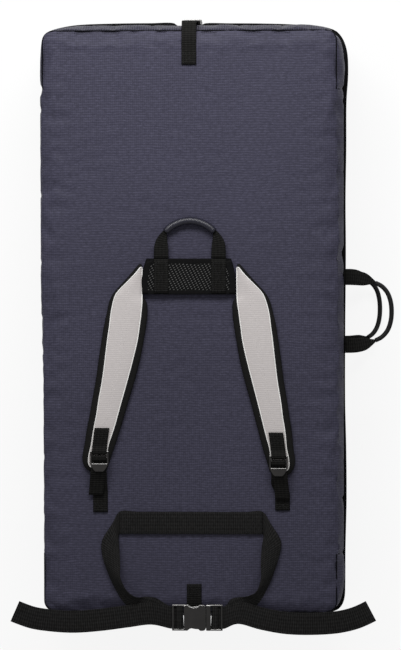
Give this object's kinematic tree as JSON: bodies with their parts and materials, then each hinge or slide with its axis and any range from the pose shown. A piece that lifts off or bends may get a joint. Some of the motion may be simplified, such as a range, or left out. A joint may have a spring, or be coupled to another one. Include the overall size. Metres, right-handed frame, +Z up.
{
  "type": "bouldering crash pad",
  "caption": "Foam landing pad folded shut at a side hinge, with shoulder straps, waist belt, grab and suitcase handles and buckled end closures.",
  "frame": {"origin": "on the floor under the middle of the carry face, on the front panel's flat resting face", "axes": "+Z up through the closed panels to the carry face, +Y along the pad towards the grab handle, +X towards the suitcase handles and away from the hinge"},
  "size_m": [0.6539, 1.0508, 0.2257],
  "materials": {
    "cover": "ribbed laminated nylon",
    "foam_soft": "open-cell foam",
    "foam_firm": "closed-cell foam",
    "zip_tape": "coil zip",
    "zip_slider": "painted die-cast",
    "binding": "binding tape",
    "mould": "moulded acetal",
    "webbing": "woven webbing",
    "mesh": "spacer mesh",
    "grip": "padded grip fabric",
    "strap_core": "black fabric border",
    "strap_face": "light grey fabric"
  },
  "bodies": {
    "front_panel": {"front_cover": "cover", "front_foam_soft": "foam_soft", "front_foam_firm": "foam_firm", "front_zip": "zip_tape", "front_zip_slider": "zip_slider", "front_edge_binding": "binding", "fold_hinge_tape": "binding", "top_closure_socket": "mould", "top_closure_anchor": "webbing", "bottom_closure_socket": "mould", "bottom_closure_anchor": "webbing"},
    "back_panel": {"back_cover": "cover", "back_foam_soft": "foam_soft", "back_foam_firm": "foam_firm", "back_zip": "zip_tape", "back_zip_slider": "zip_slider", "back_edge_binding": "binding", "yoke_pad": "mesh", "handle_tab_left": "webbing", "handle_tab_right": "webbing", "adjuster_anchor_left": "webbing", "adjuster_anchor_right": "webbing", "waist_belt_band": "webbing", "waist_belt_left": "webbing", "waist_belt_right_wing": "webbing", "belt_buckle_socket": "mould", "top_closure_strap": "webbing", "bottom_closure_strap": "webbing"},
    "grab_handle_body": {"grab_handle_webbing": "webbing", "grab_handle_grip": "grip"},
    "side_handle_back_body": {"side_handle_back_webbing": "webbing", "side_handle_back_grip": "grip"},
    "side_handle_front_body": {"side_handle_front_webbing": "webbing", "side_handle_front_grip": "webbing"},
    "strap_left_body": {"shoulder_strap_left": "strap_core", "strap_face_left": "strap_face", "ladder_lock_loop_left": "webbing"},
    "strap_right_body": {"shoulder_strap_right": "strap_core", "strap_face_right": "strap_face", "ladder_lock_loop_right": "webbing"},
    "ladder_lock_left_body": {"ladder_lock_left": "mould", "adjuster_tail_left": "webbing"},
    "ladder_lock_right_body": {"ladder_lock_right": "mould", "adjuster_tail_right": "webbing"},
    "belt_plug_body": {"belt_buckle_plug": "mould", "belt_buckle_arms": "mould", "waist_belt_right_tail": "webbing"},
    "top_closure_plug_body": {"top_closure_plug": "mould", "top_closure_arms": "mould"},
    "bottom_closure_plug_body": {"bottom_closure_plug": "mould", "bottom_closure_arms": "mould"}
  },
  "joints": [
    {"name": "fold", "type": "hinge", "parent": "front_panel", "child": "back_panel", "pos_m": [-0.256, 0, 0.1], "axis": [0, -1, 0], "range_deg": [0, 180], "deforming": ["fold_hinge_tape"]},
    {"name": "grab_handle", "type": "hinge", "parent": "back_panel", "child": "grab_handle_body", "pos_m": [0.001, 0.1081, 0.2102], "axis": [1, 0, 0], "range_deg": [0, 115]},
    {"name": "side_handle_back", "type": "hinge", "parent": "back_panel", "child": "side_handle_back_body", "pos_m": [0.2623, 0.016, 0.15], "axis": [0, -1, 0], "range_deg": [-30, 75]},
    {"name": "side_handle_front", "type": "hinge", "parent": "front_panel", "child": "side_handle_front_body", "pos_m": [0.2623, 0.016, 0.05], "axis": [0, -1, 0], "range_deg": [0, 57]},
    {"name": "shoulder_strap_left", "type": "hinge", "parent": "back_panel", "child": "strap_left_body", "pos_m": [-0.085, 0.0979, 0.204], "axis": [-1, 0, 0], "range_deg": [0, 12], "deforming": ["adjuster_anchor_left"]},
    {"name": "shoulder_strap_right", "type": "hinge", "parent": "back_panel", "child": "strap_right_body", "pos_m": [0.085, 0.0979, 0.204], "axis": [-1, 0, 0], "range_deg": [0, 12], "deforming": ["adjuster_anchor_right"]},
    {"name": "ladder_lock_left", "type": "hinge", "parent": "strap_left_body", "child": "ladder_lock_left_body", "pos_m": [-0.1532, -0.2207, 0.2165], "axis": [-1, 0, 0], "range_deg": [0, 35]},
    {"name": "ladder_lock_right", "type": "hinge", "parent": "strap_right_body", "child": "ladder_lock_right_body", "pos_m": [0.1511, -0.228, 0.2165], "axis": [-1, 0, 0], "range_deg": [0, 35]},
    {"name": "waist_buckle_release", "type": "slide", "parent": "back_panel", "child": "belt_plug_body", "axis": [1, 0, 0], "range_m": [0, 0.045], "deforming": ["belt_buckle_arms", "waist_belt_right_wing"]},
    {"name": "top_closure_release", "type": "slide", "parent": "back_panel", "child": "top_closure_plug_body", "axis": [0, 0, 1], "range_m": [0, 0.035], "deforming": ["top_closure_arms", "top_closure_strap"]},
    {"name": "bottom_closure_release", "type": "slide", "parent": "back_panel", "child": "bottom_closure_plug_body", "axis": [0, 0, 1], "range_m": [0, 0.035], "deforming": ["bottom_closure_arms", "bottom_closure_strap"]}
  ]
}
